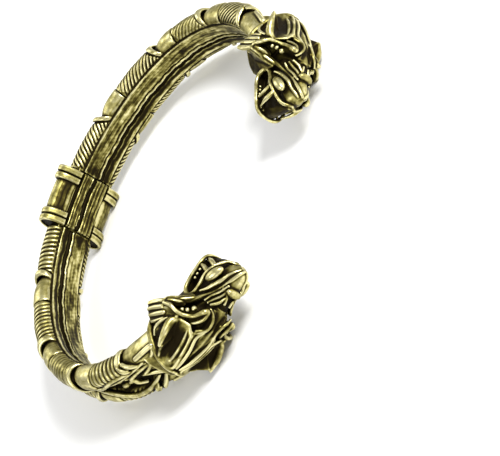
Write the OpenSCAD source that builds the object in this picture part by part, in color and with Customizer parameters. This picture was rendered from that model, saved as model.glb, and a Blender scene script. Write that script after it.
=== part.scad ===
// Open oval arm ring: two cast arms, each ending in a beast head, joined by a sleeve.
// X points from the sleeve to the gap, Y to the first arm, and Z is the wrist axis.
// The ring lies on its side, so its lower edge rests on Z = 0.

/* [Ring] */
// Half of the clear width of the wrist oval, from the centre to one arm
wrist_half_y = 31; // [28:0.5:34]
// Half of the clear depth of the wrist oval, from the centre to the sleeve
wrist_half_x = 25; // [23:0.5:28]
// Half width of the whole ring along the wrist axis
rest_half_w = 6.6; // [6.4:0.1:7.2]
// Shift that puts the origin under the middle of the ring
centre_shift = 0.34; // [0:0.01:1]

/* [Band] */
// Half width of the band across its two tubes
band_half_w = 4.5; // [4.2:0.1:4.8]
// Height of the tubes above the inner face
band_height = 4.1; // [3.8:0.1:4.4]
// Half width of the flat inner strip
strip_half_w = 2.7; // [2.4:0.1:2.9]
// Depth of a rib of the hatching
rib_depth = 0.12; // [0.05:0.01:0.2]
// Height of a ring's lip over its tube, as a share of the tube
lip_share = 0.1; // [0.05:0.01:0.14]

/* [Sleeve] */
// Half of the sleeve's length along the ring
sleeve_half = 5.3; // [5.1:0.1:5.5]
// Height of the sleeve above the inner face
sleeve_height = 5.1; // [4.9:0.1:5.4]
// How far the sleeve's plate stands in from the inner face
sleeve_drop = 0.6; // [0.4:0.1:0.8]
// Gap between the sleeve and the arms
fit_gap = 0.12; // [0.1:0.01:0.2]

/* [Hidden] */
metal = [0.66, 0.58, 0.28];
// Where the heads' own frame sits on the oval, and where the knotwork opens
head_at = 64.7;
neck_at = 60.5;
knot_from = 43;
knot_gap = 2;
// Sides of a thin bar, and of a rounded lump
bar_sides = 5;
lump_sides = 6;

// Beads of an arm, each a hatched stretch, a flared ring and a smooth stretch
// [start, ring, end, ribs]
beads = [
    [5.5, 15.9, 20.8, 5],
    [20.8, 30.9, 35.0, 5],
    [35.0, 42.8, 47.3, 3],
    [47.3, 53.8, neck_at, 2]
];

// Arc length along the oval for each half degree from the sleeve
turn_step = 0.5;
turn_count = 356;
function oval(turn) = [-wrist_half_x * cos(turn), wrist_half_y * sin(turn)];
turn_table = [
    for (i = 0, s = 0; i <= turn_count;
        s = s + norm(oval((i + 1) * turn_step) - oval(i * turn_step)), i = i + 1)
        [s, i * turn_step]
];
function turn_at(s) = s < 0 ? -lookup(-s, turn_table) : lookup(s, turn_table);
function outward(turn) =
    let (n = [-cos(turn) / wrist_half_x, sin(turn) / wrist_half_y]) n / norm(n);
function forward(turn) =
    let (t = [wrist_half_x * sin(turn), wrist_half_y * cos(turn)]) t / norm(t);

// A point of the ring from its place along it, its height and its offset across
function on_ring(s, height, across) =
    let (turn = turn_at(s), p = oval(turn) + height * outward(turn))
    [p[0], p[1], across];

// A point of the head from its own straight frame: ahead, up from the wrist, across
function on_head(q) =
    let (turn = turn_at(head_at),
         p = oval(turn) + q[0] * forward(turn) + q[1] * outward(turn))
    [p[0], p[1], q[2]];

function mix(a, b, t) = a + (b - a) * t;
function clamp01(t) = min(1, max(0, t));
function smooth(t) = let (c = clamp01(t)) c * c * (3 - 2 * c);

// Solid through a row of closed rings with the same number of points
module skin(rings) {
    last = len(rings) - 1;
    count = len(rings[0]);
    sides = [
        for (i = [0:last - 1], j = [0:count - 1])
            let (k = (j + 1) % count, a = i * count, b = a + count)
            each [[a + j, b + j, b + k], [a + j, b + k, a + k]]
    ];
    ends = [
        [for (j = [0:count - 1]) j],
        [for (j = [count - 1:-1:0]) last * count + j]
    ];
    polyhedron(points = [for (r = rings) each r], faces = concat(sides, ends));
}

// Half gap between the two tubes, which part over the knotwork
function tube_gap(s) =
    knot_gap * smooth((s - knot_from) / 9) * (1 - 0.35 * smooth((s - 56) / 5)) + 0.08;

// Outline of the band from the outer groove to the inner one, for one half
tube_turns = [-72, -30, 10, 50, 95, 140];
function half_band(gap, swell) =
    let (mid = (band_half_w + gap) / 2, rad_w = (band_half_w - gap) / 2,
         rad_h = band_height / 2)
    concat(
        [[rad_h * 1.1, gap * 0.9]],
        [for (a = tube_turns)
            [rad_h + rad_h * swell * cos(a), mid + rad_w * swell * sin(a)]],
        [[0.45, strip_half_w + 0.15], [0, strip_half_w], [0.35, 0.5], [0.75, 0.2]]);
function both_halves(half) = concat(
    half,
    [for (i = [len(half) - 1:-1:0]) [half[i][0], -half[i][1]]]);

// Stations of a bead: [place along the arm, size of the tubes]
function barrel(t) = 0.96 + 0.06 * sin(180 * clamp01(t * 0.9 + 0.1));
function bead_stations(b) =
    let (hatch = b[1] - b[0] - 1.4, pitch = hatch / b[3])
    concat(
        [[b[0], 0.9]],
        [for (i = [0:b[3] - 1], side = [0, 1])
            [b[0] + 0.5 + (i + 0.25 + side * 0.5) * pitch,
             barrel((i + 0.5) / b[3]) + (0.5 - side) * rib_depth]],
        [[b[1] - 0.8, 0.95], [b[1] - 0.35, 1 + lip_share * 0.8], [b[1], 1 + lip_share],
         [b[1] + 0.12, 0.86], [b[1] + 1, 0.94], [mix(b[1], b[2], 0.55), 1.01],
         [b[2] - 0.25, 0.97]]);
band_stations = concat([for (b = beads) each bead_stations(b)]);

module band() {
    skin([for (p = band_stations)
        [for (q = both_halves(half_band(tube_gap(p[0]), p[1]))) on_ring(p[0], q[0], q[1])]]);
}

// Plain tongue at the end of the arm, which the sleeve covers
tongue_half_w = 3.6;
tongue_low = 0.5;
tongue_high = 3.2;
// Corners cut off the tongue, so that it clears the rounded bore of the sleeve
high_cut = 1.3;
low_cut = 0.9;
tongue_outline = [
    [tongue_high, -tongue_half_w + high_cut], [tongue_high, tongue_half_w - high_cut],
    [tongue_high - high_cut, tongue_half_w], [tongue_low + low_cut, tongue_half_w],
    [tongue_low, tongue_half_w - low_cut], [tongue_low, -tongue_half_w + low_cut],
    [tongue_low + low_cut, -tongue_half_w], [tongue_high - high_cut, -tongue_half_w]];
module tongue() {
    skin([for (s = [fit_gap / 2, 3, 6]) [for (q = tongue_outline) on_ring(s, q[0], q[1])]]);
}

// Bar along a row of points of the ring, or of the head, with a radius at each
function bar_ring(p, along, r) =
    let (side = cross(along, [0, 0, 1]),
         e = norm(side) < 0.1 ? [1, 0, 0] : side / norm(side), f = cross(along, e))
    [for (j = [0:bar_sides - 1])
        p + r * (cos(360 * j / bar_sides) * e + sin(360 * j / bar_sides) * f)];
module bar(points, radii) {
    last = len(points) - 1;
    skin([for (i = [0:last])
        let (step = points[min(i + 1, last)] - points[max(i - 1, 0)])
        bar_ring(points[i], step / norm(step), radii[i])]);
}
module head_bar(rows) {
    bar([for (r = rows) on_head([r[0], r[1], r[2]])], [for (r = rows) r[3]]);
}

// Straps of the knotwork, from the ring outward: [place, height, across, radius]
straps = [
    [[44.5, 3.3, 0.1, 0.3], [48.2, 3.6, 1.6, 0.4], [50.8, 3.7, 2.4, 0.45],
     [53.4, 3.6, 2.5, 0.45], [56, 3.4, 1.5, 0.3]],
    [[54.6, 3.5, 3.6, 0.4], [55.4, 3.6, 2.6, 0.4], [57.2, 3.4, 1.4, 0.25]],
    [[56.2, 3.3, 3.2, 0.4], [58.4, 3.6, 2.8, 0.45], [59.4, 3.6, 2.3, 0.45],
     [57.7, 3.5, 1.5, 0.45], [55.6, 3.3, 0.5, 0.4], [53.6, 3.2, 0.1, 0.4]]
];
// Small leaves between the straps: [place, height, across, size]
leaves = [[50.1, 2.4, 0.9, 0.7], [51.9, 2.4, 0.8, 0.6]];
module knotwork() {
    for (strap = straps)
        bar([for (r = strap) on_ring(r[0], r[1], r[2])], [for (r = strap) r[3]]);
    for (leaf = leaves)
        hull() for (end = [-0.6, 0.6])
            translate(on_ring(leaf[0] + end, leaf[1], leaf[2]))
                sphere(r = leaf[3] * 0.7, $fn = bar_sides);
}

// Solid through rounded sections of the head: [ahead, low, high, half width]
loft_sides = 10;
function head_ring(r) = [
    for (j = [0:loft_sides - 1])
        let (a = 360 * j / loft_sides, c = cos(a), s = sin(a), soft = 0.75)
        on_head([r[0], mix(r[1], r[2], (1 + sign(c) * pow(abs(c), soft)) / 2),
                 r[3] * sign(s) * pow(abs(s), soft)])
];
module lofted(rows) { skin([for (r = rows) head_ring(r)]); }

skull_rows = [
    [-7.5, 0.6, 4.2, 3.9], [-4.5, 0.1, 5.2, 3.7], [-1, -0.9, 6.0, 3.9], [2, -1.3, 6.4, 3.9],
    [4, -0.6, 6.4, 2.9]
];
snout_rows = [
    [2.5, 0.9, 6.2, 3.2], [6, 1.5, 5.2, 3.0], [9, 1.4, 4.8, 2.7], [11, 0.9, 4.7, 1.7],
    [12.6, 2.2, 4.6, 0.9]
];
jaw_rows = [
    [2, -1.8, 0.4, 2.9], [4.8, -2.5, -1.1, 2.8], [7.6, -3.4, -2.1, 2.4], [9.6, -4.0, -2.8, 1.7]
];
tongue_rows = [[3, -1.4, 1.5, 1.1], [6, -2.4, 0.4, 1.1], [8.2, -3.0, -0.9, 0.8]];

// Ridges on one side of the head: [ahead, up, across, radius]
lip_ridge = [
    [9.4, -3.4, 1.8, 0.4], [7.2, -2.6, 2.6, 0.45], [4.8, -1.6, 2.9, 0.5],
    [3.6, -0.1, 3.0, 0.5], [4.2, 1.3, 3.0, 0.5], [6.4, 1.7, 3.2, 0.45], [8.8, 1.6, 3.1, 0.45],
    [10.6, 1.2, 2.0, 0.4], [12.0, 1.2, 0.8, 0.35]
];
brow_ridge = [
    [1.4, 1.5, 6.0, 0.6], [2.8, 2.4, 5.1, 0.7], [4.7, 3.0, 3.2, 0.5], [7.1, 4.0, 2.5, 0.45],
    [10.2, 4.4, 1.8, 0.45], [12.4, 4.4, 0.8, 0.45]
];
cheek_ridge = [
    [0.8, 2.9, 6.0, 0.6], [2.3, 4.0, 5.5, 0.5], [3.4, 5.6, 4.2, 0.5], [4.6, 6.5, 2.8, 0.6],
    [3.8, 6.9, 1.6, 0.5]
];
heart_rim = [
    [0.4, 0.4, 4.9, 0.5], [-3.6, 0.9, 4.5, 0.5], [-5.6, 4.0, 2.9, 0.45], [-5.9, 5.8, 1.9, 0.4],
    [-2.3, 6.5, 2.5, 0.45], [1.0, 6.1, 3.1, 0.45]
];
// Outline of the ear, whose middle is sunk
ear_rim = [
    [1.6, 5.4, 4.4, 0.45], [-1.2, 6.3, 5.4, 0.45], [-3.4, 5.4, 5.8, 0.4], [-2.8, 3.8, 5.6, 0.45],
    [0.4, 3.2, 4.9, 0.5]
];
ear_floor = [[1.4, 5.0, 3.6], [-1, 5.4, 4.2], [-2.9, 4.6, 5.2], [-0.4, 3.4, 4.4]];
// Tabs of the frill behind the jaw, each from its root to its tip
frill_tabs = [
    [[1.8, 1.8, 5.6, 0.8], [-1.1, -0.8, 6.1, 0.5]],
    [[1.4, 2.4, 5.4, 0.8], [-1.9, 0.8, 6.1, 0.5]],
    [[1.0, 0.8, 4.6, 0.7], [-1.2, -1.7, 4.6, 0.5]]
];
fangs = [
    [[8.5, 1.6, 2.8, 0.45], [8.1, -2.6, 2.3, 0.35]],
    [[9.7, 1.4, 2.3, 0.45], [9.3, -3.0, 1.7, 0.35]]
];
tooth_beads = [
    [4.9, -1.0, 2.5, 0.4], [5.9, -1.5, 2.4, 0.4], [6.9, -1.9, 2.3, 0.4],
    [2.2, 3.6, 4.0, 0.6], [3.0, 4.1, 3.6, 0.5], [3.8, 4.6, 3.1, 0.5]
];
// Corners of the cheek, from the neck to the corner of the rear mouth
cheek_corners = [
    [-2, 2, 3.2], [-0.8, -0.4, 5.4], [1.4, 1.4, 5.9], [2.2, 3.4, 5.7], [1.2, 4.8, 4.6], [3, 2, 2.6]
];
module balls(points, r, sides) {
    for (q = points) translate(on_head([q[0], q[1], q[2]])) sphere(r = r, $fn = sides);
}
module half_head() {
    for (ridge = [lip_ridge, brow_ridge, cheek_ridge, heart_rim, ear_rim]) head_bar(ridge);
    for (rod = concat(frill_tabs, fangs)) head_bar(rod);
    for (tooth = tooth_beads) balls([tooth], tooth[3], bar_sides);
    hull() balls(cheek_corners, 0.3, 4);
    hull() balls(ear_floor, 0.3, 4);
    // Eye
    hull() balls([[8.8, 2.7, 2.5], [9.9, 3.0, 2.2]], 0.95, lump_sides);
    // Lobe of the nose over the rear mouth
    hull() balls([[3.0, 6.4, 0.3], [4.4, 7.1, 0.3]], 0.7, bar_sides);
}
module beast_head() {
    for (rows = [skull_rows, snout_rows, jaw_rows, tongue_rows]) lofted(rows);
    half_head();
    mirror([0, 0, 1]) half_head();
}

// One arm with its head, in one casting
module arm() {
    translate([centre_shift, 0, rest_half_w]) {
        tongue();
        band();
        knotwork();
        mirror([0, 0, 1]) knotwork();
        beast_head();
    }
}
module arm_left() { color(metal) arm(); }
module arm_right() { color(metal) mirror([0, 1, 0]) arm(); }

// Outline of the sleeve, swollen by a bead or cleft into two barrels
sleeve_sides = 24;
function sleeve_point(j, swell, cleft) =
    let (a = 360 * j / sleeve_sides, c = cos(a), s = sin(a),
         mid = (sleeve_height - sleeve_drop) / 2, half_h = (sleeve_height + sleeve_drop) / 2,
         over = c > 0 ? cleft * 1.2 * pow(max(0, 1 - abs(s) * 2.2), 2) : 0,
         shrink = 0.55 - swell)
    [mid + (half_h - shrink) * sign(c) * pow(abs(c), 0.7) - over,
     (rest_half_w - shrink) * sign(s) * pow(abs(s), 0.8)];
function sleeve_bore(j) =
    let (a = 360 * j / sleeve_sides, c = cos(a), s = sin(a),
         mid = (tongue_high + tongue_low) / 2, half_h = (tongue_high - tongue_low) / 2)
    [mid + (half_h + fit_gap) * sign(c) * pow(abs(c), 0.35),
     (tongue_half_w + fit_gap) * sign(s) * pow(abs(s), 0.35)];
// Rows of the sleeve from its middle: [place, swell, cleft]
sleeve_rows = [
    [0, 0.1, 1], [1.6, 0.06, 1], [2.6, -0.1, 1], [2.75, 0.2, 0], [3.05, 0.5, 0],
    [3.45, 0.55, 0], [3.8, 0.3, 0], [3.95, 0.05, 0], [4.1, 0.3, 0], [4.45, 0.55, 0],
    [4.85, 0.55, 0], [5.15, 0.35, 0], [sleeve_half, 0, 0]
];
module sleeve() {
    half = len(sleeve_rows) - 1;
    rows = concat([for (i = [half:-1:1]) let (r = sleeve_rows[i]) [-r[0], r[1], r[2]]], sleeve_rows);
    outer = [for (r = rows) [for (j = [0:sleeve_sides - 1])
        let (q = sleeve_point(j, r[1], r[2])) on_ring(r[0], q[0], q[1])]];
    bore = [for (s = [sleeve_half, 0, -sleeve_half]) [for (j = [0:sleeve_sides - 1])
        let (q = sleeve_bore(j)) on_ring(s, q[0], q[1])]];
    loops = concat(outer, bore);
    faces = [
        for (i = [0:len(loops) - 1], j = [0:sleeve_sides - 1])
            let (k = (j + 1) % sleeve_sides, a = i * sleeve_sides,
                 b = ((i + 1) % len(loops)) * sleeve_sides)
            each [[a + j, b + j, b + k], [a + j, b + k, a + k]]
    ];
    color(metal) translate([centre_shift, 0, rest_half_w])
        polyhedron(points = [for (l = loops) each l], faces = faces);
}

arm_left();
arm_right();
sleeve();
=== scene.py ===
# Dressed open arm ring: two hatched arms with beast heads, joined by a ringed sleeve.
# Every solid is carved as a distance field on a grid and then skinned.
import math

import bpy
import numpy as np
from mathutils import Matrix, Vector


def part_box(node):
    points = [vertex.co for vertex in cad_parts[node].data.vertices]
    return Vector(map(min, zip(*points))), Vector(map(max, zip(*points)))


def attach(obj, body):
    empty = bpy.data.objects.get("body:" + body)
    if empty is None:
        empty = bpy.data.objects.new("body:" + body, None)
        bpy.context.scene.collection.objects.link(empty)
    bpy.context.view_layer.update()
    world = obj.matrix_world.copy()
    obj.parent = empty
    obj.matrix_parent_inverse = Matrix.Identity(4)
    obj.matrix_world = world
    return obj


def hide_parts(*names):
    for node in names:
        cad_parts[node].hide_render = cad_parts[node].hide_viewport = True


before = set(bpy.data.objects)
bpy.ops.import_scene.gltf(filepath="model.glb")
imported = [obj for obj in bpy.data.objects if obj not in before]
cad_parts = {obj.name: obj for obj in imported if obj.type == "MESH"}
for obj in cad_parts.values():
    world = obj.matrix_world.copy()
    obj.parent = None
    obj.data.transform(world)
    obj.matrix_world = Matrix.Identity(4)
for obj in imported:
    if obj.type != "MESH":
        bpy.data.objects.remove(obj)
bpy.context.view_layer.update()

# Sizes of the ring, in millimetres, as in the part's source
MM = 0.001
WRIST_HALF_X = 25.0
WRIST_HALF_Y = 31.0
REST_HALF_W = 6.6
CENTRE_SHIFT = 0.34
BAND_HALF_W = 4.5
TUBE_HALF_H = 2.05
STRIP_HALF_W = 2.7
SLEEVE_HEIGHT = 5.1
SLEEVE_DROP = 0.6
HEAD_AT = 64.7
KNOT_FROM = 43.0
KNOT_GAP = 2.0
# Where the band ends inside the neck, a little further on than in the solids
NECK_AT = 61.2

# Beads of an arm: (start, ring, end, depth of the hatching)
BEADS = [
    (5.5, 15.9, 20.8, 0.26),
    (20.8, 30.9, 35.0, 0.24),
    (35.0, 42.8, 47.3, 0.1),
    (47.3, 54.8, 60.5, 0.2),
]


# Places on the ring

TURNS = np.radians(np.arange(0, 178.1, 0.1))
STEPS = np.hypot(np.diff(WRIST_HALF_X * np.cos(TURNS)), np.diff(WRIST_HALF_Y * np.sin(TURNS)))
ARCS = np.concatenate([[0.0], np.cumsum(STEPS)])


def ring_frame(s):
    """Point, forward and outward directions of the inner oval at an arc length."""
    s = np.asarray(s, float)
    turn = np.sign(s) * np.interp(np.abs(s), ARCS, TURNS)
    point = np.stack([-WRIST_HALF_X * np.cos(turn), WRIST_HALF_Y * np.sin(turn)], -1)
    ahead = np.stack([WRIST_HALF_X * np.sin(turn), WRIST_HALF_Y * np.cos(turn)], -1)
    out = np.stack([-np.cos(turn) / WRIST_HALF_X, np.sin(turn) / WRIST_HALF_Y], -1)
    return (point, ahead / np.linalg.norm(ahead, axis=-1, keepdims=True),
            out / np.linalg.norm(out, axis=-1, keepdims=True))


def on_ring(q):
    """From (place along, across, height) to the part's own frame."""
    point, _, out = ring_frame(q[:, 0])
    flat = point + q[:, 2:3] * out
    return np.column_stack([flat, q[:, 1]])


def on_head(q):
    """From (ahead, up, across) in the head's straight frame to the part's own frame."""
    point, ahead, out = ring_frame(HEAD_AT)
    flat = point + q[:, 0:1] * ahead + q[:, 1:2] * out
    return np.column_stack([flat, q[:, 2]])


def smooth(t):
    """Eased step from 0 to 1."""
    t = np.clip(t, 0, 1)
    return t * t * (3 - 2 * t)


def curve(points, steps=6):
    """Rounded row of points through a short table, with the radii in the last column."""
    p = np.asarray(points, float)
    if len(p) < 3:
        return p
    ends = np.vstack([2 * p[0] - p[1], p, 2 * p[-1] - p[-2]])
    rows = []
    for i in range(len(p) - 1):
        a, b, c, d = ends[i:i + 4]
        for t in np.arange(steps) / steps:
            rows.append(0.5 * (2 * b + (c - a) * t + (2 * a - 5 * b + 4 * c - d) * t * t
                               + (3 * b - a - 3 * c + d) * t ** 3))
    return np.array(rows + [p[-1]])


def oval(x, y, half_x, half_y, power=2.0):
    """Size of the rounded oval through a point, and how fast it grows there."""
    x = np.abs(x / half_x)
    y = np.abs(y / half_y)
    rho = np.maximum((x ** power + y ** power) ** (1 / power), 1e-4)
    slope = np.hypot(x ** (power - 1) / half_x, y ** (power - 1) / half_y)
    return rho, np.maximum(slope * rho ** (1 - power), 0.02)


def soft_min(a, b, blend):
    """Smaller of two distances, with the corner between them rounded."""
    if blend <= 0:
        return np.minimum(a, b)
    h = np.clip(0.5 + 0.5 * (a - b) / blend, 0, 1)
    return a + (b - a) * h - blend * h * (1 - h)


class Field:
    """Distance to a solid on a grid, negative inside."""

    # Distance given to what is far away, and the room left round a new shape
    FAR = 2.6
    MARGIN = 1.7

    def __init__(self, low, high, step):
        self.low = np.array(low, float)
        self.step = np.array(step, float)
        counts = np.ceil((np.array(high) - self.low) / self.step).astype(int) + 1
        self.values = np.full(counts, self.FAR, np.float32)

    def window(self, low, high):
        """Part of the grid round a box, and the coordinates there."""
        shape = np.array(self.values.shape)
        first = np.floor((np.asarray(low) - self.MARGIN - self.low) / self.step)
        last = np.ceil((np.asarray(high) + self.MARGIN - self.low) / self.step) + 1
        first = np.clip(first, 0, shape).astype(int)
        last = np.clip(last, 0, shape).astype(int)
        axes = [(self.low[k] + self.step[k] * np.arange(first[k], last[k])).reshape(
            [-1 if k == m else 1 for m in range(3)]) for k in range(3)]
        return tuple(slice(i, j) for i, j in zip(first, last)), axes

    def everywhere(self):
        """The whole grid, and the coordinates there."""
        high = self.low + self.step * np.array(self.values.shape)
        return self.window(self.low, high)

    def join(self, where, d, blend=0.0):
        old = self.values[where]
        self.values[where] = soft_min(old, d, blend)

    def cut(self, where, d, blend=0.0):
        old = self.values[where]
        self.values[where] = -soft_min(-old, d, blend)

    def mirrored(self, axis):
        """The field with its far half added; the grid starts at zero on that axis."""
        whole = Field.__new__(Field)
        whole.step = self.step
        whole.low = self.low.copy()
        count = self.values.shape[axis]
        whole.low[axis] = -self.step[axis] * (count - 1)
        flipped = np.flip(self.values, axis)
        flipped = np.take(flipped, np.arange(count - 1), axis)
        whole.values = np.concatenate([flipped, self.values], axis)
        return whole

    def sample(self, p):
        """Values at any points, blended from the corners of their cells."""
        shape = np.array(self.values.shape)
        held = np.clip(p, self.low, self.low + self.step * (shape - 1.001))
        beyond = np.linalg.norm(p - held, axis=1)
        q = (held - self.low) / self.step
        i = q.astype(int)
        f = q - i
        total = 0
        for dx in (0, 1):
            for dy in (0, 1):
                for dz in (0, 1):
                    weight = (np.abs(1 - dx - f[:, 0]) * np.abs(1 - dy - f[:, 1])
                              * np.abs(1 - dz - f[:, 2]))
                    total = total + weight * self.values[i[:, 0] + dx, i[:, 1] + dy, i[:, 2] + dz]
        return total + beyond

    def slope(self, p, reach=0.12):
        """Direction in which the distance grows."""
        out = np.zeros_like(p)
        for k in range(3):
            e = np.zeros(3)
            e[k] = reach
            out[:, k] = self.sample(p + e) - self.sample(p - e)
        return out / (2 * reach)


# Shapes that are added to a field or cut from it

def rod(field, rows, blend, remove=False):
    """Bar along a row of points, with a radius at each."""
    rows = curve(rows)
    p, r = rows[:, :3], rows[:, 3]
    where, (x, y, z) = field.window(p.min(0) - r.max(), p.max(0) + r.max())
    best = np.float32(9)
    for a, b, ra, rb in zip(p, p[1:], r, r[1:]):
        ab = b - a
        span = max(float(ab @ ab), 1e-9)
        t = ((x - a[0]) * ab[0] + (y - a[1]) * ab[1] + (z - a[2]) * ab[2]) / span
        t = np.clip(t, 0, 1)
        d = np.sqrt((x - a[0] - t * ab[0]) ** 2 + (y - a[1] - t * ab[1]) ** 2
                    + (z - a[2] - t * ab[2]) ** 2) - (ra + t * (rb - ra))
        best = np.minimum(best, d)
    (field.cut if remove else field.join)(where, best, blend)


def lump(field, centre, radii, ahead=(1, 0, 0), side=(0, 0, 1), blend=0.2, remove=False):
    """Ellipsoid with its own axes."""
    a = np.array(ahead, float)
    a /= np.linalg.norm(a)
    c = np.array(side, float)
    c -= a * (a @ c)
    c /= np.linalg.norm(c)
    b = np.cross(c, a)
    c0 = np.array(centre, float)
    reach = max(radii)
    where, (x, y, z) = field.window(c0 - reach, c0 + reach)
    x, y, z = x - c0[0], y - c0[1], z - c0[2]
    k0 = 0
    k1 = 0
    for axis, r in zip((a, b, c), radii):
        q = (x * axis[0] + y * axis[1] + z * axis[2]) / r
        k0 = k0 + q ** 2
        k1 = k1 + (q / r) ** 2
    k0 = np.sqrt(k0)
    d = k0 * (k0 - 1) / np.maximum(np.sqrt(k1), 1e-6)
    (field.cut if remove else field.join)(where, d, blend)


def plate(field, corners, centre, thickness, blend=0.12):
    """Thick sheet of triangles that fan out from a centre to a closed row of corners."""
    corners = np.array(corners, float)
    c = np.array(centre, float)
    points = np.vstack([corners, c[None]])
    where, (x, y, z) = field.window(points.min(0) - thickness, points.max(0) + thickness)
    best = np.float32(9)
    for i in range(len(corners)):
        best = np.minimum(best, triangle(x, y, z, corners[i - 1], corners[i], c))
    field.join(where, best - thickness, blend)


def triangle(x, y, z, a, b, c):
    """Distance to a flat triangle."""
    n = np.cross(b - a, a - c)
    inside = True
    edges = np.float32(81)
    for p, q in ((a, b), (b, c), (c, a)):
        e = q - p
        px, py, pz = x - p[0], y - p[1], z - p[2]
        m = np.cross(e, n)
        inside = inside & (px * m[0] + py * m[1] + pz * m[2] >= 0)
        t = np.clip((px * e[0] + py * e[1] + pz * e[2]) / (e @ e), 0, 1)
        edges = np.minimum(edges, (px - t * e[0]) ** 2 + (py - t * e[1]) ** 2
                           + (pz - t * e[2]) ** 2)
    flat = ((x - a[0]) * n[0] + (y - a[1]) * n[1] + (z - a[2]) * n[2]) ** 2 / (n @ n)
    return np.sqrt(np.where(inside, flat, edges))


# Squareness of a loft's sections, and how softly it runs into the rest
LOFT_POWER = 2.3
LOFT_BLEND = 0.3


def loft(field, rows):
    """Rounded solid through sections: (ahead, low, high, half width below, half width above)."""
    rows = curve(rows, 8)
    low = [rows[0, 0], rows[:, 1].min(), 0]
    high = [rows[-1, 0], rows[:, 2].max(), rows[:, 3:].max()]
    where, (x, y, z) = field.window(low, high)
    bottom, top, below, above = (np.interp(x, rows[:, 0], rows[:, k]) for k in (1, 2, 3, 4))
    tall = (top - bottom) / 2
    half = below + (above - below) * np.clip((y - bottom) / (top - bottom), 0, 1)
    rho, growth = oval(y - (top + bottom) / 2, z, tall, half, LOFT_POWER)
    d = (rho - 1) / growth
    d = np.maximum(d, np.maximum(rows[0, 0] - x, x - rows[-1, 0]))
    field.join(where, d, LOFT_BLEND)


# From a field to a mesh

def skin(field):
    """Closed mesh of the zero surface: one point for each crossed cell."""
    v = field.values
    n = np.array(v.shape) - 1
    spots = [(i, j, k) for i in (0, 1) for j in (0, 1) for k in (0, 1)]
    corner = {s: v[s[0]:n[0] + s[0], s[1]:n[1] + s[1], s[2]:n[2] + s[2]] for s in spots}
    count = sum((corner[s] < 0).astype(np.int8) for s in spots)
    active = (count > 0) & (count < 8)
    index = np.full(n, -1, np.int64)
    index[active] = np.arange(active.sum())
    cells = np.argwhere(active)
    total = np.zeros((len(cells), 3))
    hits = np.zeros(len(cells))
    for s in spots:
        for k in range(3):
            if s[k]:
                continue
            e = tuple(1 if m == k else s[m] for m in range(3))
            a, b = corner[s][active], corner[e][active]
            cross = (a < 0) != (b < 0)
            t = np.where(cross, a / np.where(cross, a - b, 1), 0)
            p = np.array(s, float) + np.outer(t, np.eye(3)[k])
            total += p * cross[:, None]
            hits += cross
    points = (cells + total / hits[:, None]) * field.step + field.low
    faces = []
    for k in range(3):
        i, j = (k + 1) % 3, (k + 2) % 3
        a = np.take(v, np.arange(n[k]), k) < 0
        b = np.take(v, np.arange(1, n[k] + 1), k) < 0
        where = np.argwhere(a != b)
        good = ((where[:, i] > 0) & (where[:, i] < n[i]) & (where[:, j] > 0) & (where[:, j] < n[j]))
        where = where[good]
        quad = []
        for di, dj in ((1, 1), (0, 1), (0, 0), (1, 0)):
            cell = where.copy()
            cell[:, i] -= di
            cell[:, j] -= dj
            quad.append(index[cell[:, 0], cell[:, 1], cell[:, 2]])
        quad = np.stack(quad, 1)
        outward = a[where[:, 0], where[:, 1], where[:, 2]]
        faces.append(np.where(outward[:, None], quad, quad[:, ::-1]))
    return points, np.vstack(faces)


def settle(field, points, faces, rounds=3):
    """Evens out the points and draws them back to the surface."""
    edges = np.vstack([faces[:, [i, (i + 1) % 4]] for i in range(4)])
    degree = np.bincount(edges.ravel(), minlength=len(points))[:, None]
    for _ in range(rounds):
        around = np.zeros_like(points)
        for k in range(3):
            around[:, k] = (np.bincount(edges[:, 0], points[edges[:, 1], k], len(points))
                            + np.bincount(edges[:, 1], points[edges[:, 0], k], len(points)))
        points = points + 0.5 * (around / degree - points)
        slope = field.slope(points)
        steep = np.maximum((slope ** 2).sum(1), 0.3)
        move = np.clip(field.sample(points) / steep, -0.06, 0.06)
        points = points - 0.8 * slope * move[:, None]
    return points


# How far off a point its surroundings are felt, for the painted shade and patina of sunk places and for the
# wear
SUNK_REACHES = (0.25, 0.6, 1.1)
BEND_REACH = 0.3


def shade_and_soil(field, points, patina_and_shade):
    """How sunk, how exposed and how streaked each point is, for the painted shade and patina of sunk places
    and for the wear.
    """
    slope = field.slope(points)
    normal = slope / np.maximum(np.linalg.norm(slope, axis=1, keepdims=True), 1e-6)
    # Occlusion: sunk places get painted shade, which also stands for their patina
    deep = np.zeros(len(points))
    for reach in SUNK_REACHES:
        free = field.sample(points + normal * reach) / reach
        deep += np.clip(1 - free, 0, 1) / len(SUNK_REACHES)
    bend = np.zeros(len(points))
    for step in BEND_REACH * np.eye(3):
        bend += field.sample(points + step) + field.sample(points - step)
    bend = (bend - 6 * field.sample(points)) / BEND_REACH ** 2
    # Marks of each piece: stains, with painted shade and painted light among them
    stain_and_shade, streaked = patina_and_shade(points)
    return {"deep": deep + stain_and_shade, "bend": bend, "streaked": streaked}


def make_mesh(name, points, faces):
    """Mesh of faces that all have the same number of corners."""
    mesh = bpy.data.meshes.new(name)
    mesh.vertices.add(len(points))
    mesh.vertices.foreach_set("co", points.astype(np.float32).ravel())
    mesh.loops.add(faces.size)
    mesh.loops.foreach_set("vertex_index", faces.astype(np.int32).ravel())
    mesh.polygons.add(len(faces))
    mesh.polygons.foreach_set("loop_start", np.arange(0, faces.size, faces.shape[1], dtype=np.int32))
    mesh.update(calc_edges=True)
    mesh.validate()
    return mesh


# Triangles that one piece may have
MOST_TRIANGLES = 196000


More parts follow.
